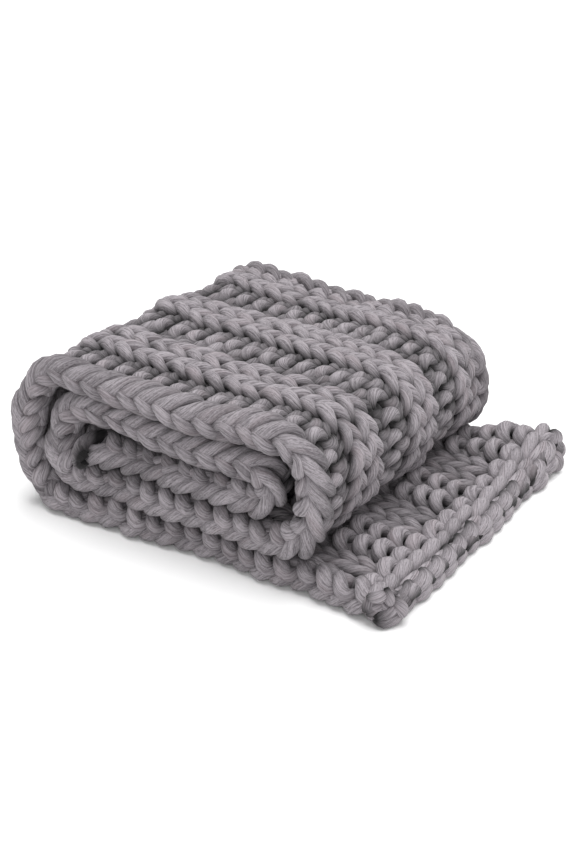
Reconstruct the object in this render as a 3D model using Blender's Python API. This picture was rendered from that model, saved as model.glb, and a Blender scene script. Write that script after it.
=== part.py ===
"""Chunky knit blanket, rolled into a flattened spiral with its outer end lying out flat.

Metres, +Z up. X runs along the winding, from the roll's closed end to the tip of the flat tail.
Y is the roll's axis, from the front edge of the cloth to the back edge. The floor is z = 0.
"""

import math

import bpy
import numpy as np

CLOTH_WIDTH = 0.65
RIB_HALF = 0.0250
FURROW_HALF = 0.0165
EDGE_HALF = 0.0225
EDGE_INSET = 0.0250
COLUMN_DIP = 0.0020

# A letter for each stitch column from the front edge to the back one, as the roll's outside shows
# it: e is the edge braid, k a knit column, which stands proud, and p a purl column, which is low.
# The first and last letters stand for the two edges, so the others are at even steps between them.
COLUMNS = "eppkkppkkppkke"

# One row for each level pass of the cloth, from the tail's tip inwards, as the cloth's middle.
PASS_COLUMNS = ("from_x", "to_x", "from_z", "to_z", "droop")
PASSES = (
    (0.415, -0.245, 0.0200, 0.0200, 0.000),
    (-0.235, 0.195, 0.2820, 0.2560, -0.005),
    (0.190, -0.200, 0.0745, 0.0745, 0.000),
    (-0.190, 0.130, 0.2275, 0.2025, -0.003),
    (0.130, -0.210, 0.1265, 0.1275, 0.000),
)

# One row for each turn between two passes: how far its nose goes past them, and how blunt it is.
TURN_COLUMNS = ("nose", "bluntness")
TURNS = (
    (0.077, 0.85),
    (0.066, 0.80),
    (0.058, 0.90),
    (0.052, 0.95),
)

PATH_STEP = 0.002
LEVEL_SPACING = 0.048
TURN_SPACING = 0.030
BEND_LIMIT = 2.5
TIP_LENGTH = 0.020
TIP_STATIONS = 3
TIP_HALF_SHARE = 0.45
EDGE_POINTS = 3
FACE_POINTS = 25

BACK_DROP = 0.042
BACK_EDGE_DROP = 0.010
BACK_CORNER_SHARE = 0.35
BACK_LEAN = 0.044
CLOSED_END_DROP = 0.085
WAVE_HEIGHT = 0.012
EDGE_WAVE = 0.005
TAIL_START = 0.28
TAIL_SLANT = 0.022
TAIL_LIFT = 0.026
TAIL_SPREAD = 0.012

# The innermost pass stands a little higher behind the front edge than at it.
INNER_RISE = 0.022
INNER_RISE_DEPTH = 0.10
INNER_RISE_LENGTH = 0.16

YARN_COLOUR = (0.29, 0.27, 0.28, 1.0)


def named(columns, rows):
    return [dict(zip(columns, row)) for row in rows]


def pass_points(row):
    count = max(2, int(abs(row["to_x"] - row["from_x"]) / PATH_STEP))
    share = np.linspace(0.0, 1.0, count)
    x = row["from_x"] + (row["to_x"] - row["from_x"]) * share
    z = row["from_z"] + (row["to_z"] - row["from_z"]) * share
    return np.column_stack([x, z + row["droop"] * np.sin(math.pi * share)])


def turn_points(before, after, turn):
    side = 1.0 if before["to_x"] > before["from_x"] else -1.0
    angle = np.linspace(0.0, math.pi, 60)[1:-1]
    share = angle / math.pi
    x = before["to_x"] + (after["from_x"] - before["to_x"]) * share
    x = x + side * turn["nose"] * np.sin(angle) ** turn["bluntness"]
    z = before["to_z"] + (after["from_z"] - before["to_z"]) * (1.0 - np.cos(angle)) / 2.0
    return np.column_stack([x, z])


def evenly(points, step):
    gaps = np.linalg.norm(np.diff(points, axis=0), axis=1)
    along = np.concatenate([[0.0], np.cumsum(gaps)])
    at = np.linspace(0.0, along[-1], int(along[-1] / step) + 1)
    return at, np.column_stack([np.interp(at, along, points[:, i]) for i in range(2)])


def smoothed(points, rounds):
    for _ in range(rounds):
        points = points.copy()
        points[1:-1] = (points[:-2] + 2.0 * points[1:-1] + points[2:]) / 4.0
    return points


def cloth_path():
    """The distance along the cloth, its middle line, and the unit normal out of the roll."""
    passes = named(PASS_COLUMNS, PASSES)
    turns = named(TURN_COLUMNS, TURNS)
    parts = [pass_points(passes[0])]
    for before, after, turn in zip(passes, passes[1:], turns):
        parts.append(turn_points(before, after, turn))
        parts.append(pass_points(after))
    _, points = evenly(np.concatenate(parts), PATH_STEP)
    at, points = evenly(smoothed(points, 40), PATH_STEP)
    along = np.gradient(points, axis=0)
    along /= np.linalg.norm(along, axis=1)[:, None]
    return at, points, along, np.column_stack([-along[:, 1], along[:, 0]])


def station_places(at, along):
    """Places along the path, closer together where it bends, with the two tips' own places."""
    turning = np.abs(np.gradient(np.unwrap(np.arctan2(along[:, 1], along[:, 0])), at))
    bend = np.clip(turning / BEND_LIMIT, 0.0, 1.0)
    density = 1.0 / (LEVEL_SPACING + (TURN_SPACING - LEVEL_SPACING) * bend)
    total = np.concatenate([[0.0], np.cumsum((density[1:] + density[:-1]) / 2.0 * np.diff(at))])
    count = int(total[-1]) + 1
    inner = np.interp(np.linspace(0.0, total[-1], count), total, at)
    inner = inner[(inner > TIP_LENGTH * 1.5) & (inner < at[-1] - TIP_LENGTH * 1.5)]
    share = np.arange(TIP_STATIONS + 1) / TIP_STATIONS
    tip = TIP_LENGTH * (1.0 - np.cos(share * math.pi / 2.0))
    return np.concatenate([tip, inner, at[-1] - tip[::-1]])


def half_thickness(across):
    """Half the cloth's thickness at a distance from its front edge, proud on knit columns."""
    width = CLOTH_WIDTH / (len(COLUMNS) - 1)
    level = {"e": EDGE_HALF, "k": RIB_HALF, "p": FURROW_HALF}
    place = across / width
    first = int(np.clip(math.floor(place), 0, len(COLUMNS) - 1))
    second = int(np.clip(math.floor(place) + 1, 0, len(COLUMNS) - 1))
    share = np.clip(place - math.floor(place), 0.0, 1.0)
    share = share * share * (3.0 - 2.0 * share)
    body = level[COLUMNS[first]] * (1.0 - share) + level[COLUMNS[second]] * share
    return body - COLUMN_DIP * math.sin(math.pi * (place - math.floor(place)))


def section():
    """(place across, share of the half thickness) of each point round the cloth's section."""
    face = np.linspace(EDGE_INSET, CLOTH_WIDTH - EDGE_INSET, FACE_POINTS)
    front = [(float(v), 1.0) for v in face]
    bend = [math.pi / 2.0 - math.pi * i / (EDGE_POINTS + 1) for i in range(1, EDGE_POINTS + 1)]
    far = [(CLOTH_WIDTH - EDGE_INSET * (1.0 - math.cos(a)), math.sin(a)) for a in bend]
    near = [(EDGE_INSET * (1.0 - math.cos(a)), -math.sin(a)) for a in bend]
    back = [(v, -1.0) for v, _ in reversed(front)]
    return front + far + back + near


def eased(share):
    share = np.clip(share, 0.0, 1.0)
    return share * share * (3.0 - 2.0 * share)


def inner_rise(along, across, length):
    """How much higher the innermost pass stands at a distance along the cloth and across it."""
    near_end = eased((along - (length - INNER_RISE_LENGTH - 0.34)) / INNER_RISE_LENGTH)
    depth = eased(across / INNER_RISE_DEPTH)
    return INNER_RISE * near_end * depth * (1.0 - 0.9 * across / CLOTH_WIDTH)


def settled(points):
    """The points with the roll's unevenness: a lower, leaning back, waves and a lifted corner.

    What would go below the floor is pressed flat on it, and the footprint's middle is the origin.
    """
    x, y, z = points.T
    back = (y + CLOTH_WIDTH / 2.0) / CLOTH_WIDTH
    lift = z / PASSES[1][2]
    corner = eased(1.0 - 2.0 * back) + BACK_CORNER_SHARE * eased(2.0 * back - 1.0)
    closed_end = np.clip(-(x + 0.05) / 0.27, 0.0, 1.0) * corner
    wave = np.sin(9.0 * x + 5.0 * y + 0.6) + 0.6 * np.sin(17.0 * x - 8.0 * y + 2.0)
    height = 1.0 - CLOSED_END_DROP * closed_end + WAVE_HEIGHT * wave
    inside = 0.6 * eased((x + 0.26) / 0.07) * eased((0.12 - x) / 0.14)
    drop = BACK_DROP * back + BACK_EDGE_DROP * back**4
    drop = drop * (inside * eased((z - 0.145) / 0.04) + (1.0 - inside) * lift)
    slide = lift * (0.006 * np.sin(11.0 * y + 1.0) - BACK_LEAN * back * (x > 0.0) * x / 0.2)
    tail = np.clip((x - TAIL_START) / (PASSES[0][0] - TAIL_START), 0.0, 1.0)
    slide = slide - TAIL_SLANT * tail * (back - 0.35) ** 2
    drift = EDGE_WAVE * (np.sin(13.0 * x + 21.0 * z) + 0.5 * np.sin(31.0 * x - 9.0 * z))
    curl = eased((x - 0.24) / 0.08) * eased((0.085 - z) / 0.02) * eased((back - 0.70) / 0.30)
    drift = drift + TAIL_SPREAD * curl
    level = np.maximum(z * height - drop + TAIL_LIFT * curl, 0.0)
    moved = np.column_stack([x + slide, y + drift, level])
    middle = (moved.min(axis=0) + moved.max(axis=0)) / 2.0
    return moved - [middle[0], middle[1], 0.0]


def blanket_mesh():
    at, middle, along, outward = cloth_path()
    places = station_places(at, along)
    ring = section()
    halves = [half_thickness(v) for v, _ in ring]
    points = []
    for place in places:
        centre = np.array([np.interp(place, at, middle[:, i]) for i in range(2)])
        normal = np.array([np.interp(place, at, outward[:, i]) for i in range(2)])
        normal /= np.linalg.norm(normal)
        near_tip = min(place, at[-1] - place)
        share = 1.0
        if near_tip < TIP_LENGTH:
            rounding = math.sqrt(max(0.0, 1.0 - (1.0 - near_tip / TIP_LENGTH) ** 2))
            share = TIP_HALF_SHARE + (1.0 - TIP_HALF_SHARE) * rounding
        for (v, side), half in zip(ring, halves):
            x, z = centre + normal * side * half * share
            rise = inner_rise(place, v, at[-1])
            points.append((x, v - CLOTH_WIDTH / 2.0, z + float(rise)))
    points = settled(np.array(points))
    faces = []
    count = len(ring)
    for i in range(len(places) - 1):
        for j in range(count):
            k = (j + 1) % count
            faces.append((i * count + j, (i + 1) * count + j, (i + 1) * count + k, i * count + k))
    faces += tip_faces(0, count, True)
    faces += tip_faces((len(places) - 1) * count, count, False)
    return points, faces


def tip_faces(start, count, flip):
    """Quads that close a tip, each from two neighbours on one face to the two on the other."""
    opposite = 2 * FACE_POINTS + EDGE_POINTS - 1
    found = []
    for j in range(FACE_POINTS - 1):
        found.append((j, opposite - j, opposite - j - 1, j + 1))
    found.append(tuple(range(FACE_POINTS + EDGE_POINTS, FACE_POINTS - 2, -1)))
    found.append((0,) + tuple(range(count - 1, opposite - 1, -1)))
    return [tuple(start + i for i in (reversed(f) if flip else f)) for f in found]


def cleared_collection(name):
    for thing in list(bpy.data.objects):
        bpy.data.objects.remove(thing, do_unlink=True)
    found = bpy.data.collections.new(name)
    bpy.context.scene.collection.children.link(found)
    return found


def yarn_material():
    material = bpy.data.materials.new("blanket_yarn")
    material.use_nodes = True
    shader = material.node_tree.nodes["Principled BSDF"]
    shader.inputs["Base Color"].default_value = YARN_COLOUR
    shader.inputs["Roughness"].default_value = 0.9
    return material


def main():
    collection = cleared_collection("knit_blanket")
    points, faces = blanket_mesh()
    mesh = bpy.data.meshes.new("blanket")
    mesh.from_pydata([tuple(p) for p in points], [], faces)
    mesh.validate()
    mesh.update()
    mesh.materials.append(yarn_material())
    collection.objects.link(bpy.data.objects.new("blanket", mesh))


main()
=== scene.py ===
import math

import bpy
import numpy as np
from mathutils import Matrix, Vector


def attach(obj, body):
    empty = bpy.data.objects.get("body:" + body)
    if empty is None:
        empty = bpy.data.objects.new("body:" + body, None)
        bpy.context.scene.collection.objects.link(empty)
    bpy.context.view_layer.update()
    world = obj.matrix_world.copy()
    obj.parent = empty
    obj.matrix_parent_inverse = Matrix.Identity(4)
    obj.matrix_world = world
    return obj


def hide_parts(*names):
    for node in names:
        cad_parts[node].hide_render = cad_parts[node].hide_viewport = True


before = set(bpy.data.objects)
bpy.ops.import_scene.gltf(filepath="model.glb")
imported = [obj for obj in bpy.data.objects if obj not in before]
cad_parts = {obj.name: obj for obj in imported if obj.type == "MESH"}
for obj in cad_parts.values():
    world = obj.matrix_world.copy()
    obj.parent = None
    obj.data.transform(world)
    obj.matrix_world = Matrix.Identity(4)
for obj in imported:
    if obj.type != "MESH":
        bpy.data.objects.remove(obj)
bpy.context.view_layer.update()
print("frame loaded")

# the cloth as it is knitted, before it is rolled, in metres
clothSizes = {
    "width": 0.65,
    "edgeInset": 0.025,
    "columns": "eppkkppkkppkke",  # as the roll's outside shows them: edge, purl and knit
    "coursePitch": 0.0375,
    "loopHalfHeight": 0.0350,
    "stepsPerColumn": 24,
    "smoothing": 2,
    "tailMargin": -0.007,
    "unevenness": 0.0022,
    "sizeUnevenness": 22.0,  # how much thicker the yarn is for each metre that it moves
    "seed": 11,
}

# one row for each kind of column: half the yarn's thickness, the loops' depth, how far new loops
# lie over old ones, how far the column stands out of the roll, and how far the legs lean
stitchColumns = ("yarn", "depth", "overlap", "proud", "lean")
stitchRows = {
    "k": (0.0108, 0.0142, 0.0080, 0.0010, 0.35),
    "p": (0.0116, 0.0082, -0.0026, -0.0030, 0.30),
    "e": (0.0116, 0.0128, 0.0085, 0.0, 0.38),
}

# how thick the yarn is from a stitch's foot to its head: shares of the way, and of its size where
# its legs show and where its short loops show
swellRows = (
    (0.00, 0.82, 1.06),
    (0.14, 0.88, 1.10),
    (0.30, 1.12, 1.02),
    (0.50, 1.12, 0.86),
    (0.70, 0.90, 0.90),
    (0.86, 0.74, 1.04),
    (1.00, 0.80, 1.12),
)

# the tail shows the cloth's other face, whose short loops are plump there
tailSizes = {
    "reach": 0.30,
    "border": 1,  # courses at the tip that show short loops only
    "fade": 0.06,  # how far along the cloth one face gives way to the other
    "rise": 0.0050,
    "riseShares": {"k": 1.0, "p": -0.8, "e": 0.0},
    "straighter": 0.22,
    "plumper": 1.12,
    "tip": 0.008,  # how near the tip a loop may come
}

# the level passes of the rolled cloth, from the tail's tip inwards
passColumns = ("fromX", "toX", "fromZ", "toZ", "droop")
passRows = (
    (0.415, -0.245, 0.0200, 0.0200, 0.000),
    (-0.235, 0.195, 0.2820, 0.2560, -0.005),
    (0.190, -0.200, 0.0745, 0.0745, 0.000),
    (-0.190, 0.130, 0.2275, 0.2025, -0.003),
    (0.130, -0.210, 0.1265, 0.1275, 0.000),
)

# how far each turn's nose goes past the passes, and how blunt it is
turnRows = ((0.077, 0.85), (0.066, 0.80), (0.058, 0.90), (0.052, 0.95))

rollSizes = {
    "backDrop": 0.042,
    "backEdgeDrop": 0.010,
    "backCornerShare": 0.35,
    "backLean": 0.044,
    "closedEndDrop": 0.085,
    "closedEndFrom": 0.05,
    "closedEndLength": 0.27,
    "wave": 0.012,
    "waveRows": ((9.0, 5.0, 0.6, 1.0), (17.0, -8.0, 2.0, 0.6)),
    "edgeWave": 0.005,
    "edgeWaveRows": ((13.0, 21.0, 0.0, 1.0), (31.0, -9.0, 0.0, 0.5)),
    "slide": 0.006,
    "slideTurns": (11.0, 1.0),
    "leanReach": 0.2,
    "sagShare": 0.6,  # how far the inner passes sag on their own, and where they start and end
    "sagFrom": (-0.26, 0.07),
    "sagTo": (0.12, -0.14),
    "sagAbove": (0.145, 0.04),
    "tailStart": 0.28,
    "tailSlant": 0.022,
    "tailSlantMiddle": 0.35,
    "curlFrom": (0.24, 0.08),
    "curlBelow": (0.085, -0.02),
    "curlBack": (0.70, 0.30),
    "tailLift": 0.026,
    "tailSpread": 0.012,
    "innerRise": 0.022,
    "innerRiseDepth": 0.10,
    "innerRiseLength": 0.16,
    "innerRiseReach": 0.34,
    "innerRiseLoss": 0.9,
    "middle": (0.03485, 0.00145, 0.0),
}


def eased(share):
    share = np.clip(share, 0.0, 1.0)
    return share * share * (3.0 - 2.0 * share)


# 0 up to start, 1 from a length further on, and smooth between; the other way with a minus length
def ramp(value, start, length):
    return eased((value - start) / length)


# waves over the cloth: how fast each turns along a and b, where it starts, and its share
def waves(rows, a, b):
    total = 0.0
    for alongA, alongB, start, share in rows:
        total = total + share * np.sin(alongA * a + alongB * b + start)
    return total


pathSizes = {"step": 0.002, "turnSteps": 60, "smoothing": 40}


def passPoints(row):
    length = abs(row["toX"] - row["fromX"])
    share = np.linspace(0.0, 1.0, max(2, int(length / pathSizes["step"])))
    x = row["fromX"] + (row["toX"] - row["fromX"]) * share
    z = row["fromZ"] + (row["toZ"] - row["fromZ"]) * share
    return np.column_stack([x, z + row["droop"] * np.sin(math.pi * share)])


def turnPoints(before, after, nose, bluntness):
    side = 1.0 if before["toX"] > before["fromX"] else -1.0
    angle = np.linspace(0.0, math.pi, pathSizes["turnSteps"])[1:-1]
    x = before["toX"] + (after["fromX"] - before["toX"]) * angle / math.pi
    x = x + side * nose * np.sin(angle) ** bluntness
    z = before["toZ"] + (after["fromZ"] - before["toZ"]) * (1.0 - np.cos(angle)) / 2.0
    return np.column_stack([x, z])


def evenly(points):
    gaps = np.linalg.norm(np.diff(points, axis=0), axis=1)
    along = np.concatenate([[0.0], np.cumsum(gaps)])
    at = np.linspace(0.0, along[-1], int(along[-1] / pathSizes["step"]) + 1)
    return at, np.column_stack([np.interp(at, along, points[:, i]) for i in range(2)])


def clothPath():
    passes = [dict(zip(passColumns, row)) for row in passRows]
    parts = [passPoints(passes[0])]
    for before, after, turn in zip(passes, passes[1:], turnRows):
        parts += [turnPoints(before, after, *turn), passPoints(after)]
    points = evenly(np.concatenate(parts))[1]
    for _ in range(pathSizes["smoothing"]):
        points[1:-1] = (points[:-2] + 2.0 * points[1:-1] + points[2:]) / 4.0
    at, points = evenly(points)
    along = np.gradient(points, axis=0)
    along /= np.linalg.norm(along, axis=1)[:, None]
    return at, points, along


pathAt, pathMiddle, pathAlong = clothPath()
clothLength = float(pathAt[-1])


# the points with the roll's unevenness: a lower, leaning back, waves and a lifted corner
def settled(points):
    r = rollSizes
    x, y, z = points.T
    back = (y + clothSizes["width"] / 2.0) / clothSizes["width"]
    lift = z / passRows[1][2]
    corner = eased(1.0 - 2.0 * back) + r["backCornerShare"] * eased(2.0 * back - 1.0)
    closedEnd = np.clip(-(x + r["closedEndFrom"]) / r["closedEndLength"], 0.0, 1.0) * corner
    height = 1.0 - r["closedEndDrop"] * closedEnd + r["wave"] * waves(r["waveRows"], x, y)
    inside = r["sagShare"] * ramp(x, *r["sagFrom"]) * ramp(x, *r["sagTo"])
    drop = r["backDrop"] * back + r["backEdgeDrop"] * back**4
    drop = drop * (inside * ramp(z, *r["sagAbove"]) + (1.0 - inside) * lift)
    turns, start = r["slideTurns"]
    leaning = r["backLean"] * back * (x > 0.0) * x / r["leanReach"]
    slide = lift * (r["slide"] * np.sin(turns * y + start) - leaning)
    tailLength = passRows[0][0] - r["tailStart"]
    tail = np.clip((x - r["tailStart"]) / tailLength, 0.0, 1.0)
    slide = slide - r["tailSlant"] * tail * (back - r["tailSlantMiddle"]) ** 2
    drift = r["edgeWave"] * waves(r["edgeWaveRows"], x, z)
    curl = ramp(x, *r["curlFrom"]) * ramp(z, *r["curlBelow"]) * ramp(back, *r["curlBack"])
    drift = drift + r["tailSpread"] * curl
    level = z * height - drop + r["tailLift"] * curl
    return np.column_stack([x + slide, y + drift, level]) - np.array(r["middle"])


# points of the rolled cloth: s along it from the tail's tip, v from its front edge, w out of it
def onRoll(s, v, w):
    r = rollSizes
    inside = np.clip(s, 0.0, clothLength)
    x = np.interp(inside, pathAt, pathMiddle[:, 0])
    z = np.interp(inside, pathAt, pathMiddle[:, 1])
    alongX = np.interp(inside, pathAt, pathAlong[:, 0])
    alongZ = np.interp(inside, pathAt, pathAlong[:, 1])
    length = np.hypot(alongX, alongZ)
    alongX, alongZ = alongX / length, alongZ / length
    x = x + alongX * (s - inside) - alongZ * w
    z = z + alongZ * (s - inside) + alongX * w
    risingFrom = clothLength - r["innerRiseLength"] - r["innerRiseReach"]
    nearEnd = ramp(inside, risingFrom, r["innerRiseLength"])
    rise = r["innerRise"] * nearEnd * eased(v / r["innerRiseDepth"])
    z = z + rise * (1.0 - r["innerRiseLoss"] * v / clothSizes["width"])
    return settled(np.column_stack([x, v - clothSizes["width"] / 2.0, z]))


# the courses of stitches

rng = np.random.default_rng(clothSizes["seed"])
courseCount = int((clothLength - clothSizes["tailMargin"]) / clothSizes["coursePitch"]) - 1
columnCount = len(clothSizes["columns"])
columnWidth = (clothSizes["width"] - 2.0 * clothSizes["edgeInset"]) / (columnCount - 2)
jog = rng.normal(size=(courseCount + 2, columnCount, 4)) * clothSizes["unevenness"]
stitches = {kind: dict(zip(stitchColumns, row)) for kind, row in stitchRows.items()}
faceOut = {"k": 1.0, "e": 1.0, "p": -1.0}
handOver = math.pi / 3.0  # the part of a turn in which one column's yarn becomes the next one's


# how much the cloth shows its other face, from 0 on the roll to 1 on the tail
def tailShare(s):
    return eased((tailSizes["reach"] - s) / tailSizes["fade"])


# one stitch, as its yarn turns from 0 to 2 pi: how far across its column, s, w and the yarn's size
def stitchLine(course, j, turn):
    kinds = clothSizes["columns"]
    if course < tailSizes["border"]:
        kinds = kinds.replace("p", "k")
    here = kinds[j]
    near, far = kinds[max(j - 1, 0)], kinds[min(j + 1, columnCount - 1)]
    start = eased(turn / handOver)
    finish = eased((2.0 * math.pi - turn) / handOver)
    body = start * finish

    def blend(value):
        sides = (1.0 - start) * (value(here) + value(near)) / 2.0
        sides = sides + (1.0 - finish) * (value(here) + value(far)) / 2.0
        return value(here) * body + sides

    stitch = stitches[here]
    s = clothSizes["tailMargin"] + (course + 1.0) * clothSizes["coursePitch"]
    s = s - clothSizes["loopHalfHeight"] * np.cos(turn)
    w = stitch["overlap"] * np.cos(turn) - stitch["depth"] * np.cos(2.0 * turn)
    w = w * blend(lambda kind: faceOut[kind]) + blend(lambda kind: stitches[kind]["proud"])
    way = np.minimum(turn, 2.0 * math.pi - turn) / math.pi
    shares, legs, loops = zip(*swellRows)
    legs, loops = np.interp(way, shares, legs), np.interp(way, shares, loops)
    onTail = tailShare(s)
    lean = stitch["lean"] * (1.0 - tailSizes["straighter"] * onTail * (here == "k"))
    across = turn / (2.0 * math.pi) + lean * np.sin(2.0 * turn)
    w = w - tailSizes["rise"] * onTail * blend(lambda kind: tailSizes["riseShares"][kind])
    if here == "k":
        legs = legs * (1.0 - onTail) + loops * onTail * tailSizes["plumper"]
    if here == "p":
        legs = loops * (1.0 - onTail) + legs * onTail
    size = stitch["yarn"] * legs
    moves = jog[course, j]
    s = s + moves[0] * body
    w = w + moves[1] * body
    across = across + moves[2] * body / columnWidth
    size = size * (1.0 + moves[3] * body * clothSizes["sizeUnevenness"])
    return across, np.maximum(s, tailSizes["tip"]), w, size


# the edge column stands on the cloth's edge and faces out of it; it leans back from the floor, and
# its upper half bends over the cloth
edgeSizes = {
    "middle": 0.0250,
    "length": 0.045,
    "wrap": 0.003,
    "wrapMost": 1.3,
    "tilt": 8.0,
    "bend": 52.0,
    "up": 0.004,
    "under": 75.0,  # how far the lower half turns under the cloth on the floor
    "underEnd": 0.60,
    "underFade": 0.06,
    "fade": 0.10,
    "innerStart": 1.90,  # how far along the cloth its edge starts to stand further in
    "innerInset": 0.009,
    # painted shade: the next two sizes only set how dark the edge columns are painted
    "sideShare": (0.42, 0.20),  # at the front edge and at the back edge
    "sideShadeRise": (0.0065, 0.0100),
    "tailTilt": 42.0,
    "tailTiltEnd": 0.26,
    "innerTilt": 46.0,
    "innerTiltReach": 0.42,
    "tailLift": 0.008,
    "skew": 0.60,
    "joint": math.pi / 4.0,  # the part of a turn in which the yarn leaves the edge
    "outerLegs": 1.08,
    "upperLegs": 1.00,
}


def edgeLine(across, s, w, turn, atFront):
    inner = across if atFront else 1.0 - across
    level = np.interp(s, pathAt, pathAlong[:, 0])
    tilt = edgeSizes["tilt"]
    if atFront:
        innermost = ramp(s, clothLength - edgeSizes["innerTiltReach"], edgeSizes["fade"])
        tilt = tilt + (edgeSizes["innerTilt"] - tilt) * innermost
    else:
        onTail = ramp(s, edgeSizes["tailTiltEnd"], -edgeSizes["fade"])
        tilt = tilt + (edgeSizes["tailTilt"] - tilt) * onTail
        w = w - edgeSizes["tailLift"] * onTail
    place = (inner - 0.5) * edgeSizes["length"]
    bend = edgeSizes["bend"] * np.clip((2.0 * inner - 1.0) * np.sign(level), 0.0, 1.0)
    under = edgeSizes["under"] * np.clip(2.0 * inner - 1.0, 0.0, 1.0)
    under = under * ramp(s, edgeSizes["underEnd"], -edgeSizes["underFade"])
    facing = np.radians((tilt + bend) * level + under)
    tilt = np.radians((tilt + bend / 2.0) * level + under / 2.0)
    v = edgeSizes["middle"] + np.sin(tilt) * place - np.cos(facing) * w
    v = v + edgeSizes["wrap"] * np.clip(2.0 * np.abs(inner - 0.5), 0.0, edgeSizes["wrapMost"]) ** 2
    inside = ramp(s, edgeSizes["innerStart"], edgeSizes["fade"])
    v = v + edgeSizes["innerInset"] * inside
    height = np.cos(tilt) * place + np.sin(facing) * w
    height = height + edgeSizes["up"] * level * (1.0 - 2.0 * inside * (level > 0.0))
    left = 2.0 * math.pi - turn if atFront else turn
    inCloth = eased(1.0 - left / edgeSizes["joint"])
    s = s + edgeSizes["skew"] * place * (1.0 - inCloth)
    v = v * (1.0 - inCloth) + clothSizes["edgeInset"] * inCloth
    height = height * (1.0 - inCloth)
    return (v if atFront else clothSizes["width"] - v), s, height


# how the height in the cloth is counted, which sets how dark the yarn is painted: painted shade
# deep between the loops, and over the whole tail for the shade of the roll over it
heightSizes = {"purl": 1.5, "tailShade": 0.40, "edge": 0.75}


# one course as rows of s, v, w, half the yarn's thickness and its height in the cloth, which
# sets its painted shade; lift moves it out of the cloth
def courseLine(course, lift):
    turn = np.linspace(0.0, 2.0 * math.pi, clothSizes["stepsPerColumn"], endpoint=False)
    rows = []
    for j in range(columnCount):
        across, s, w, size = stitchLine(course, j, turn)
        height = w * (heightSizes["purl"] if clothSizes["columns"][j] == "p" else 1.0)
        # painted shade: the tail is painted darker, standing in for the roll's shade over it
        height = height * (1.0 - heightSizes["tailShade"] * tailShare(s))
        if j in (0, columnCount - 1):
            outer = (turn < math.pi) == (j == 0)
            size = size * np.where(outer, edgeSizes["outerLegs"], edgeSizes["upperLegs"])
            # painted shade: the edge columns' height for the shade, from how deep each point lies
            height = heightSizes["edge"] * np.abs(w) + edgeSizes["sideShadeRise"][j > 0]
            w = w + lift * edgeSizes["sideShare"][j > 0]
            v, s, w = edgeLine(across, s, w, turn, j == 0)
        else:
            v = clothSizes["edgeInset"] + (j - 1 + across) * columnWidth
            w = w + lift
        rows.append(np.column_stack([s, v, w, size, height]))
    line = np.concatenate(rows)
    for _ in range(clothSizes["smoothing"]):
        line[1:-1] = (line[:-2] + 2.0 * line[1:-1] + line[2:]) / 4.0
    return line


# the loop that joins two courses at one edge of the cloth, at the front or at the back; its
# height only sets its painted shade
turnBackSizes = {"steps": 9, "outwards": (-0.003, 0.016), "up": (0.0, 0.010), "height": 0.012}


def turnBack(atBack, before, after):
    angle = np.linspace(0.0, math.pi, turnBackSizes["steps"])[1:-1]
    share = (1.0 - np.cos(angle))[:, None] / 2.0
    line = before * (1.0 - share) + after * share
    line[:, 1] += turnBackSizes["outwards"][atBack] * np.sin(angle)
    line[:, 2] += turnBackSizes["up"][atBack] * np.sin(angle)
    line[:, 3] = stitches["p"]["yarn"]
    line[:, 4] = turnBackSizes["height"]
    return line


clearance = 1.01  # how many half thicknesses the yarn's middle keeps from the floor


def onFloor(points, sizes):
    points[:, 2] = np.maximum(points[:, 2], sizes * clearance)
    return points


# the yarn of some courses, back and forth
def yarnLine(courses, lift):
    parts = []
    for course in courses:
        line = courseLine(course, lift)
        if course % 2:
            line = line[::-1]
        if parts:
            parts.append(turnBack(course % 2 == 1, parts[-1][-1], line[0]))
        parts.append(line)
    return np.concatenate(parts)


probe = 0.001  # how far a point is moved to find which way is out of the cloth


# a yarn's points, half thickness, the way out of the cloth and the height in it; the last two
# only set the painted shade
def lineWithSides(line, lifted):
    points = onRoll(line[:, 0], line[:, 1], line[:, 2])
    sides = (onRoll(lifted[:, 0], lifted[:, 1], lifted[:, 2]) - points) / probe
    return onFloor(points, line[:, 3]), line[:, 3], sides, line[:, 4]


def yarnOf(courses):
    return lineWithSides(yarnLine(courses, 0.0), yarnLine(courses, probe))


# the chain of loops that closes the cloth's two ends
chainSizes = {
    "start": 0.026,
    "startShare": 0.1,
    "margin": 0.004,
    "pitch": 0.0425,
    "steps": 26,
    "opening": 0.06,
    "narrowing": 0.30,
    "tilt": 0.3,
    "swell": 0.12,
    "halfLength": 0.034,
    "halfWidth": 0.0122,
    "depth": 0.0100,
    "yarn": 0.0116,
    "tipOffset": -0.016,
    # painted shade: the next two sizes only set how dark the chain and corner loops are painted
    "shadeHeight": 0.0085,
    "sideShare": 0.50,
    "unevenness": 1.5,
    "sizeUnevenness": 20.0,
    "lower": 0.0030,
}


# the tail's second chain, which lies further in and higher and faces up and out
upperChain = {"facing": 52.0, "inwards": 0.019, "up": 0.009}


# one chain loop lying on a plane: distances along the chain, across it and out of it
def chainLoop(c, middle, moves):
    turn = np.linspace(c["opening"], 2.0 * math.pi - c["opening"], c["steps"])
    along = middle - c["halfLength"] * np.cos(turn)
    across = c["halfWidth"] * np.sin(turn) * (1.0 - c["narrowing"] * np.cos(turn)) + moves[0]
    out = -c["depth"] * np.cos(2.0 * turn) + c["tilt"] * c["depth"] * np.cos(turn) + moves[1]
    size = c["yarn"] * (1.0 - c["swell"] * np.cos(2.0 * turn))
    size = size * (1.0 + c["sizeUnevenness"] * moves[2])
    return along, across, out, size


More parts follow.
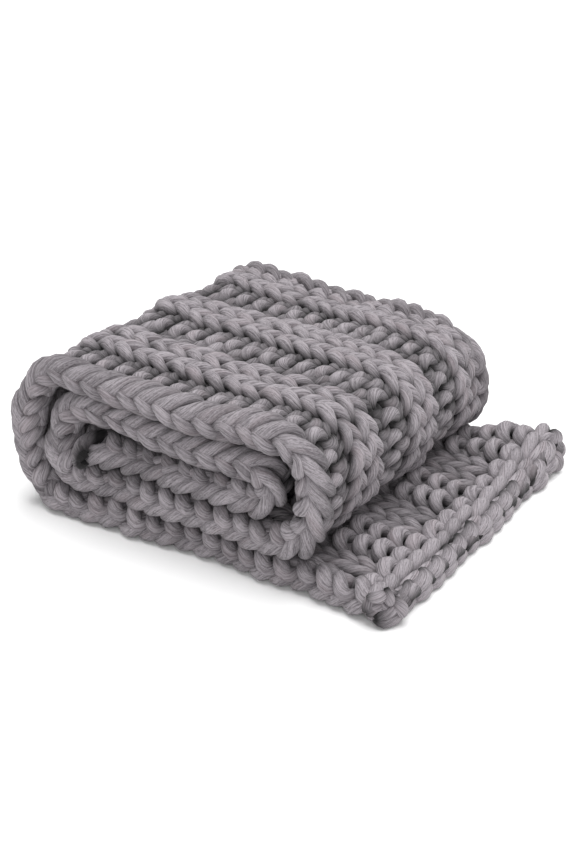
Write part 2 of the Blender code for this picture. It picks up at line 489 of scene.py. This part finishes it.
# a chain at one end of the cloth; facing turns it from out of the end to up from the cloth
def endChain(s, outward, facing=0.0, inwards=0.0, up=0.0):
    c = chainSizes
    lines = []
    count = int(clothSizes["width"] / c["pitch"])
    cosine, sine = math.cos(math.radians(facing)), math.sin(math.radians(facing))
    for i in range(count):
        moves = rng.normal(size=3) * clothSizes["unevenness"] * c["unevenness"]
        middle = c["start"] + (i + c["startShare"]) * c["pitch"]
        along, across, out, size = chainLoop(c, middle, moves)
        v = np.clip(along, c["margin"], clothSizes["width"] - c["margin"])
        outside = c["tipOffset"] - inwards + out * cosine - across * sine
        level = across * cosine + out * sine + up
        w = outward * (level - c["lower"])
        shadeHeight = out + c["shadeHeight"]
        rows = np.column_stack([s + outward * outside, v, w, size, shadeHeight])
        lift = outward * probe * c["sideShare"]
        lifted = rows + np.array([lift * cosine, 0.0, lift * sine, 0.0, 0.0])
        lines.append(lineWithSides(rows, lifted))
    return lines


# the knot at the tail's front corner and the loose loop at its back corner: how far beyond the tip,
# how far from the front edge and how high the middle of each is, and the directions that it lies in
cornerSizes = {
    "knotPlace": (-0.014, 0.022, 0.032),
    "knotAcross": (0.82, 0.57, 0.0),
    "knotUp": (0.10, -0.20, 0.97),
    "loopPlace": (-0.002, 0.602, 0.020),
    "loopAcross": (0.94, 0.34, 0.0),
    "loopUp": (0.0, 0.0, 1.0),
}

# painted shade: the height in these two tables only sets how dark the loop and leaves are painted
loopSizes = {
    "halfLength": 0.014,
    "halfWidth": 0.0095,
    "yarn": 0.0098,
    "thinnest": 0.92,
    "swell": 0.12,
    "bulge": 0.003,
    "steps": 26,
    "height": 0.016,
}

leafSizes = {
    "steps": 16,
    "ends": 0.45,
    "swell": 0.55,
    "blunt": 0.7,
    "bulge": 0.010,
    "sink": 0.4,
    "height": 0.019,
}


def looseLoop(middle, upward, sideways):
    c = loopSizes
    turn = np.linspace(0.0, 2.0 * math.pi, c["steps"])
    outward = np.cross(sideways, upward)
    rise = c["halfLength"] * np.cos(turn)[:, None] * upward
    spread = c["halfWidth"] * np.sin(turn)[:, None] * sideways
    push = c["bulge"] * np.abs(np.sin(turn))[:, None] * outward
    size = c["yarn"] * (c["thinnest"] + c["swell"] * np.abs(np.sin(turn)))
    points = onFloor(middle + rise + spread + push, size)
    sides = np.tile(outward * chainSizes["sideShare"], (len(turn), 1))
    return points, size, sides, np.full(len(turn), c["height"])


# the knot's leaves: where each starts, bends to and ends, to the right and up, and its thickness
leafRows = (
    (-0.005, 0.036, 0.004, 0.020, 0.000, 0.002, 0.0085),
    (0.003, 0.014, 0.030, 0.004, 0.014, -0.026, 0.0112),
    (0.018, -0.022, 0.002, -0.036, -0.016, -0.020, 0.0122),
    (-0.034, -0.006, -0.016, 0.006, -0.002, 0.004, 0.0104),
    (-0.032, 0.016, -0.016, 0.030, -0.002, 0.024, 0.0100),
    (-0.030, -0.020, -0.012, -0.016, -0.004, -0.004, 0.0104),
)


def leafLine(middle, upward, sideways, row):
    c = leafSizes
    share = np.linspace(0.0, 1.0, c["steps"])[:, None]
    outward = np.cross(sideways, upward)
    start, bend, end = (sideways * row[i] + upward * row[i + 1] for i in (0, 2, 4))
    line = (1.0 - share) ** 2 * start + 2.0 * share * (1.0 - share) * bend + share**2 * end
    swell = np.sin(math.pi * share[:, 0])
    size = row[6] * (c["ends"] + c["swell"] * swell ** c["blunt"])
    line = middle + line + c["bulge"] * (swell - c["sink"])[:, None] * outward
    sides = np.tile(outward * chainSizes["sideShare"], (len(size), 1))
    return onFloor(line, size), size, sides, c["height"] * swell


def cornerMiddle(place):
    beyond, v, height = place
    middle = onRoll(np.array([-beyond]), np.array([v]), np.array([0.0]))[0]
    middle[2] = height
    return middle


def cornerLoops():
    c = {name: np.array(value) for name, value in cornerSizes.items()}
    knot = cornerMiddle(c["knotPlace"])
    lines = [leafLine(knot, c["knotUp"], c["knotAcross"], row) for row in leafRows]
    loop = cornerMiddle(c["loopPlace"])
    lines.append(looseLoop(loop, c["loopUp"], c["loopAcross"]))
    return lines


# the lines as edges, with what the tree below reads kept on their points
def lineObject(name, lines):
    points, sizes, sides, heights = (np.concatenate(column) for column in zip(*lines))
    starts = np.cumsum([0] + [len(line[0]) for line in lines])
    edges = [(i, i + 1) for a, b in zip(starts, starts[1:]) for i in range(a, b - 1)]
    mesh = bpy.data.meshes.new(name)
    mesh.from_pydata([tuple(p) for p in points], edges, [])
    mesh.attributes.new("yarnSize", "FLOAT", "POINT").data.foreach_set("value", sizes)
    mesh.attributes.new("clothHeight", "FLOAT", "POINT").data.foreach_set("value", heights)
    way = mesh.attributes.new("clothSide", "FLOAT_VECTOR", "POINT")
    way.data.foreach_set("vector", sides.ravel())
    thing = bpy.data.objects.new(name, mesh)
    bpy.context.scene.collection.objects.link(thing)
    return thing


yarnShape = {"sides": 12, "turnsPerMetre": 6.0}


# a tree that lays yarn along a line, and keeps on it where its fibres run and how high each
# point lies in the cloth, which sets its painted shade
def yarnTree():
    tree = bpy.data.node_groups.new("yarnAlongLine", "GeometryNodeTree")
    face = tree.interface
    face.new_socket("Line", in_out="INPUT", socket_type="NodeSocketGeometry")
    face.new_socket("Sides", in_out="INPUT", socket_type="NodeSocketInt")
    face.new_socket("Turns per metre", in_out="INPUT", socket_type="NodeSocketFloat")
    face.new_socket("Material", in_out="INPUT", socket_type="NodeSocketMaterial")
    face.new_socket("Yarn", in_out="OUTPUT", socket_type="NodeSocketGeometry")
    nodes, links = tree.nodes, tree.links

    def read(name, kind="FLOAT"):
        node = nodes.new("GeometryNodeInputNamedAttribute")
        node.data_type = kind
        node.inputs["Name"].default_value = name
        return node.outputs["Attribute"]

    def keep(geometry, name, value, kind="FLOAT"):
        node = nodes.new("GeometryNodeStoreNamedAttribute")
        node.data_type = kind
        node.inputs["Name"].default_value = name
        links.new(geometry, node.inputs["Geometry"])
        links.new(value, node.inputs["Value"])
        return node.outputs["Geometry"]

    def calculate(operation, *values, kind="ShaderNodeMath", output=0):
        node = nodes.new(kind)
        node.operation = operation
        for i, value in enumerate(values):
            if isinstance(value, float):
                node.inputs[i].default_value = value
            else:
                links.new(value, node.inputs[i])
        return node.outputs[output]

    source, target = nodes.new("NodeGroupInput"), nodes.new("NodeGroupOutput")
    along, around = (nodes.new("GeometryNodeSplineParameter") for _ in range(2))
    toCurve = nodes.new("GeometryNodeMeshToCurve")
    middle = nodes.new("GeometryNodeInputPosition")
    circle = nodes.new("GeometryNodeCurvePrimitiveCircle")
    circle.inputs["Radius"].default_value = 1.0
    sweep = nodes.new("GeometryNodeCurveToMesh")
    sweep.inputs["Fill Caps"].default_value = True
    links.new(source.outputs["Line"], toCurve.inputs["Mesh"])
    links.new(source.outputs["Sides"], circle.inputs["Resolution"])
    line = keep(toCurve.outputs["Curve"], "alongYarn", along.outputs["Length"])
    line = keep(line, "lineMiddle", middle.outputs["Position"], "FLOAT_VECTOR")
    links.new(line, sweep.inputs["Curve"])
    ring = keep(circle.outputs["Curve"], "aroundYarn", around.outputs["Factor"])
    links.new(ring, sweep.inputs["Profile Curve"])
    links.new(read("yarnSize"), sweep.inputs["Scale"])
    turns = source.outputs["Turns per metre"]
    twist = calculate("MULTIPLY_ADD", read("alongYarn"), turns, read("aroundYarn"))
    angle = calculate("MULTIPLY", twist, 2.0 * math.pi)
    place = nodes.new("ShaderNodeCombineXYZ")
    links.new(read("alongYarn"), place.inputs["X"])
    links.new(calculate("COSINE", angle), place.inputs["Y"])
    links.new(calculate("SINE", angle), place.inputs["Z"])
    surface = nodes.new("GeometryNodeInputPosition").outputs["Position"]
    vectors = "ShaderNodeVectorMath"
    offset = calculate("SUBTRACT", surface, read("lineMiddle", "FLOAT_VECTOR"), kind=vectors)
    # painted shade: how high the yarn's surface lies in the cloth, kept for darkening its colour
    side = read("clothSide", "FLOAT_VECTOR")
    above = calculate("DOT_PRODUCT", offset, side, kind=vectors, output="Value")
    shadeHeight = calculate("ABSOLUTE", calculate("ADD", above, read("clothHeight")))
    yarn = keep(sweep.outputs["Mesh"], "fibrePlace", place.outputs[0], "FLOAT_VECTOR")
    yarn = keep(yarn, "shadeHeight", shadeHeight)
    smooth = nodes.new("GeometryNodeSetShadeSmooth")
    realize = nodes.new("GeometryNodeRealizeInstances")
    paint = nodes.new("GeometryNodeSetMaterial")
    links.new(yarn, smooth.inputs["Geometry"])
    links.new(smooth.outputs["Geometry"], realize.inputs["Geometry"])
    links.new(realize.outputs["Geometry"], paint.inputs["Geometry"])
    links.new(source.outputs["Material"], paint.inputs["Material"])
    links.new(paint.outputs["Geometry"], target.inputs["Yarn"])
    return tree


def socketOf(tree, name):
    return next(item.identifier for item in tree.interface.items_tree if item.name == name)


def yarnPiece(name, lines, tree, material):
    source = lineObject(name + "Line", lines)
    modifier = source.modifiers.new("yarn", "NODES")
    modifier.node_group = tree
    modifier[socketOf(tree, "Sides")] = yarnShape["sides"]
    modifier[socketOf(tree, "Turns per metre")] = yarnShape["turnsPerMetre"]
    modifier[socketOf(tree, "Material")] = material
    bpy.context.view_layer.update()
    graph = bpy.context.evaluated_depsgraph_get()
    mesh = bpy.data.meshes.new_from_object(source.evaluated_get(graph), depsgraph=graph)
    mesh.name = name
    bpy.data.objects.remove(source, do_unlink=True)
    piece = bpy.data.objects.new(name, mesh)
    bpy.context.scene.collection.objects.link(piece)
    print(name, len(mesh.polygons), "faces")
    return piece


yarnLook = {
    "light": (0.350, 0.322, 0.343, 1.0),
    "dark": (0.118, 0.105, 0.115, 1.0),
    "warm": (0.265, 0.215, 0.228, 1.0),
    "warmShare": 0.30,
    # painted shade: how dark the yarn is painted where it lies deep between the loops
    "hollowShade": 0.04,  # how dark the yarn is deep between the loops
    "roughness": 0.82,
    "sheen": 0.10,
    "sheenRoughness": 0.45,
    "gloss": 0.25,
    "bump": 0.60,
}

# how the fibres' noises are stretched, their size and their detail; how strong each shows, and
# which part of a value becomes 0 to 1
fibreSizes = {
    "strands": ((13.0, 2.1, 2.1), 2.2, 3.0),
    "fine": ((26.0, 5.5, 5.5), 2.4, 3.0),
    "patches": ((9.0, 0.6, 0.6), 1.0, 2.0),
    "strandShare": 0.62,
    "fineShare": 0.42,
    "lineRange": (0.38, 0.60),
    "warmRange": (0.52, 0.72),
    # painted shade: the next range is the height in the cloth over which the painted shade fades
    # out
    "heightRange": (0.004, 0.0215),
    "bumpDepth": 0.003,
}


# fibres along the yarn: fine light and dark lines, with warmer stretches here and there, and
# painted shade that darkens the yarn deep between the loops
def fibreAndShadeGroup():
    group = bpy.data.node_groups.new("spunFibreAndShade", "ShaderNodeTree")
    face = group.interface
    for name in ("Light", "Dark", "Warm"):
        face.new_socket(name, in_out="INPUT", socket_type="NodeSocketColor")
    for name in ("Warm share", "Hollow shade", "Bump"):
        face.new_socket(name, in_out="INPUT", socket_type="NodeSocketFloat")
    face.new_socket("Colour", in_out="OUTPUT", socket_type="NodeSocketColor")
    face.new_socket("Normal", in_out="OUTPUT", socket_type="NodeSocketVector")
    nodes, links = group.nodes, group.links
    source = nodes.new("NodeGroupInput")
    target = nodes.new("NodeGroupOutput")
    place = nodes.new("ShaderNodeAttribute")
    place.attribute_name = "fibrePlace"

    def noise(stretching, size, detail):
        stretch = nodes.new("ShaderNodeMapping")
        stretch.inputs["Scale"].default_value = stretching
        links.new(place.outputs["Vector"], stretch.inputs["Vector"])
        found = nodes.new("ShaderNodeTexNoise")
        found.inputs["Scale"].default_value = size
        found.inputs["Detail"].default_value = detail
        links.new(stretch.outputs["Vector"], found.inputs["Vector"])
        return found.outputs["Fac"]

    def spread(value, low, high):
        found = nodes.new("ShaderNodeMapRange")
        found.inputs["From Min"].default_value = low
        found.inputs["From Max"].default_value = high
        links.new(value, found.inputs["Value"])
        return found.outputs["Result"]

    def mix(share, first, second):
        found = nodes.new("ShaderNodeMix")
        found.data_type = "RGBA"
        links.new(share, found.inputs["Factor"])
        links.new(first, found.inputs["A"])
        links.new(second, found.inputs["B"])
        return found.outputs["Result"]

    def calculate(operation, *values):
        found = nodes.new("ShaderNodeMath")
        found.operation = operation
        for i, value in enumerate(values):
            if isinstance(value, float):
                found.inputs[i].default_value = value
            else:
                links.new(value, found.inputs[i])
        return found.outputs[0]

    c = fibreSizes
    strands = noise(*c["strands"])
    fine = noise(*c["fine"])
    patches = noise(*c["patches"])
    lines = calculate("MULTIPLY", strands, c["strandShare"])
    lines = calculate("MULTIPLY_ADD", fine, c["fineShare"], lines)
    body = mix(spread(lines, *c["lineRange"]), source.outputs["Dark"], source.outputs["Light"])
    patches = spread(patches, *c["warmRange"])
    warmth = calculate("MULTIPLY", patches, source.outputs["Warm share"])
    body = mix(warmth, body, source.outputs["Warm"])
    # painted shade: the yarn's height in the cloth darkens its colour deep between the loops
    height = nodes.new("ShaderNodeAttribute")
    height.attribute_name = "shadeHeight"
    openness = spread(height.outputs["Fac"], *c["heightRange"])
    shaded = nodes.new("ShaderNodeMix")
    shaded.data_type = "RGBA"
    shaded.blend_type = "MULTIPLY"
    shaded.inputs["Factor"].default_value = 1.0
    links.new(body, shaded.inputs["A"])
    lightening = calculate("SUBTRACT", 1.0, source.outputs["Hollow shade"])
    shade = calculate("MULTIPLY_ADD", openness, lightening)
    links.new(source.outputs["Hollow shade"], shade.node.inputs[2])
    links.new(shade, shaded.inputs["B"])
    links.new(shaded.outputs["Result"], target.inputs["Colour"])
    bump = nodes.new("ShaderNodeBump")
    bump.inputs["Distance"].default_value = c["bumpDepth"]
    links.new(source.outputs["Bump"], bump.inputs["Strength"])
    links.new(lines, bump.inputs["Height"])
    links.new(bump.outputs["Normal"], target.inputs["Normal"])
    return group


def yarnMaterial(group, name, look):
    material = bpy.data.materials.new(name)
    material.use_nodes = True
    nodes, links = material.node_tree.nodes, material.node_tree.links
    shader = nodes["Principled BSDF"]
    shader.inputs["Roughness"].default_value = look["roughness"]
    shader.inputs["Sheen Weight"].default_value = look["sheen"]
    shader.inputs["Sheen Roughness"].default_value = look["sheenRoughness"]
    shader.inputs["Specular IOR Level"].default_value = look["gloss"]
    fibre = nodes.new("ShaderNodeGroup")
    fibre.node_tree = group
    fibre.inputs["Light"].default_value = look["light"]
    fibre.inputs["Dark"].default_value = look["dark"]
    fibre.inputs["Warm"].default_value = look["warm"]
    fibre.inputs["Warm share"].default_value = look["warmShare"]
    fibre.inputs["Hollow shade"].default_value = look["hollowShade"]
    fibre.inputs["Bump"].default_value = look["bump"]
    links.new(fibre.outputs["Colour"], shader.inputs["Base Color"])
    links.new(fibre.outputs["Normal"], shader.inputs["Normal"])
    return material


tree = yarnTree()
yarn = yarnMaterial(fibreAndShadeGroup(), "spunYarn", yarnLook)

# the pieces of the knitting, each a run of courses between two of the roll's turns
turnsAt = pathAt[np.where(np.diff(np.sign(pathAlong[:, 0])))[0]]
bounds = [0] + [int(at / clothSizes["coursePitch"]) for at in turnsAt[:3]] + [courseCount]
names = ("knitTail", "knitTop", "knitSecondRound", "knitInside")
pieceLines = {name: [yarnOf(range(a, b))] for name, a, b in zip(names, bounds, bounds[1:])}
pieceLines["outerEndChain"] = endChain(0.0, -1.0)
pieceLines["outerEndChain"] += endChain(0.0, -1.0, **upperChain)
pieceLines["outerEndChain"] += cornerLoops()
pieceLines["innerEndChain"] = endChain(clothLength, 1.0)
for name, lines in pieceLines.items():
    piece = yarnPiece(name, lines, tree, yarn)
    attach(piece, "root")
    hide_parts("blanket")


# a thin layer inside the cloth, which closes the small holes between its loops; it stands in for
# the yarn deep in the holes, painted dark with that yarn's shade
layerSizes = {
    "alongSteps": 140,
    "acrossSteps": 24,
    "inset": 0.018,
    "endInset": 0.006,
    "thickness": 0.003,
    "tailRise": 0.008,
    "tailRiseFrom": (0.08, 0.04),
    "lowest": 0.010,
    "roughness": 0.95,
    # painted shade: the layer is darker than the yarn, for the shade deep in the holes
    "colour": (0.10, 0.090, 0.098, 1.0),
}


def innerLayer():
    c = layerSizes
    s = np.linspace(c["endInset"], clothLength - c["endInset"], c["alongSteps"])
    v = np.linspace(c["inset"], clothSizes["width"] - c["inset"], c["acrossSteps"])
    rise = c["tailRise"] * tailShare(s) * ramp(s, *c["tailRiseFrom"])
    grid = [onRoll(np.full(len(v), at), v, np.full(len(v), -up)) for at, up in zip(s, rise)]
    points = np.concatenate(grid)
    points[:, 2] = np.maximum(points[:, 2], c["lowest"])
    faces = []
    for i in range(len(s) - 1):
        for j in range(len(v) - 1):
            a = i * len(v) + j
            faces.append((a, a + 1, a + len(v) + 1, a + len(v)))
    material = bpy.data.materials.new("shadedYarn")
    material.use_nodes = True
    shader = material.node_tree.nodes["Principled BSDF"]
    shader.inputs["Base Color"].default_value = c["colour"]
    shader.inputs["Roughness"].default_value = c["roughness"]
    mesh = bpy.data.meshes.new("innerLayer")
    mesh.from_pydata([tuple(p) for p in points], [], faces)
    mesh.materials.append(material)
    mesh.shade_smooth()
    piece = bpy.data.objects.new("innerLayer", mesh)
    bpy.context.scene.collection.objects.link(piece)
    solid = piece.modifiers.new("thickness", "SOLIDIFY")
    solid.thickness = c["thickness"]
    solid.offset = 0.0
    return piece


layer = innerLayer()
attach(layer, "root")
print("knitting and inner layer made")

studio = {
    "azimuth": 32.96,
    "elevation": 28.745,
    "distance": 3.175,
    "focalPixels": 1769.2,
    "aim": (-0.03485, -0.00145, 0.0),
    "aimPixel": (280.86, 476.68),
    "photoWidth": 576.0,
    "photoHeight": 864.0,
    "floorHalf": 30.0,
    "floorColour": (0.90, 0.90, 0.90, 1.0),
    "floorRoughness": 0.95,
    "lampAim": (0.0, 0.0, 0.1),
    "sensor": 36.0,
    "farthest": 100.0,
    "worldColour": (1.0, 1.0, 1.0, 1.0),
    "worldStrength": 0.44,
}

# distant soft lamps: where each one shines from, how wide it looks in degrees, and its strength
lampColumns = ("name", "place", "width", "strength")
lampRows = (
    ("keyLight", (0.15, 0.35, 3.0), 55.0, 3.25),
    ("fillLight", (1.6, -2.4, 1.9), 24.0, 0.78),
)


def addFloor():
    half = studio["floorHalf"]
    mesh = bpy.data.meshes.new("studioFloor")
    corners = [(-half, -half, 0.0), (half, -half, 0.0), (half, half, 0.0), (-half, half, 0.0)]
    mesh.from_pydata(corners, [], [(0, 1, 2, 3)])
    material = bpy.data.materials.new("paleFloor")
    material.use_nodes = True
    shader = material.node_tree.nodes["Principled BSDF"]
    shader.inputs["Base Color"].default_value = studio["floorColour"]
    shader.inputs["Roughness"].default_value = studio["floorRoughness"]
    mesh.materials.append(material)
    floor = bpy.data.objects.new("studioFloor", mesh)
    bpy.context.scene.collection.objects.link(floor)


def addLamp(row):
    light = bpy.data.lights.new(row["name"], "SUN")
    light.angle = math.radians(row["width"])
    light.energy = row["strength"]
    lamp = bpy.data.objects.new(row["name"], light)
    lamp.location = row["place"]
    toObject = Vector(studio["lampAim"]) - lamp.location
    lamp.rotation_euler = toObject.to_track_quat("-Z", "Y").to_euler()
    bpy.context.scene.collection.objects.link(lamp)


def addCamera():
    azimuth, elevation = math.radians(studio["azimuth"]), math.radians(studio["elevation"])
    level = math.cos(elevation)
    back = Vector((math.sin(azimuth) * level, -math.cos(azimuth) * level, math.sin(elevation)))
    right = Vector((math.cos(azimuth), math.sin(azimuth), 0.0))
    data = bpy.data.cameras.new("photoCamera")
    data.sensor_width = studio["sensor"]
    data.lens = studio["sensor"] * studio["focalPixels"] / studio["photoHeight"]
    data.shift_x = (studio["photoWidth"] / 2.0 - studio["aimPixel"][0]) / studio["photoHeight"]
    data.shift_y = (studio["aimPixel"][1] - studio["photoHeight"] / 2.0) / studio["photoHeight"]
    data.clip_end = studio["farthest"]
    camera = bpy.data.objects.new("photoCamera", data)
    turn = Matrix((right, back.cross(right), back)).transposed().to_4x4()
    place = Vector(studio["aim"]) + back * studio["distance"]
    camera.matrix_world = Matrix.Translation(place) @ turn
    bpy.context.scene.collection.objects.link(camera)
    bpy.context.scene.camera = camera


addFloor()
for row in lampRows:
    addLamp(dict(zip(lampColumns, row)))
addCamera()
bpy.context.scene.view_settings.view_transform = "Standard"
world = bpy.data.worlds.new("studioWorld")
world.use_nodes = True
background = world.node_tree.nodes["Background"]
background.inputs["Color"].default_value = studio["worldColour"]
background.inputs["Strength"].default_value = studio["worldStrength"]
bpy.context.scene.world = world
print("studio made")
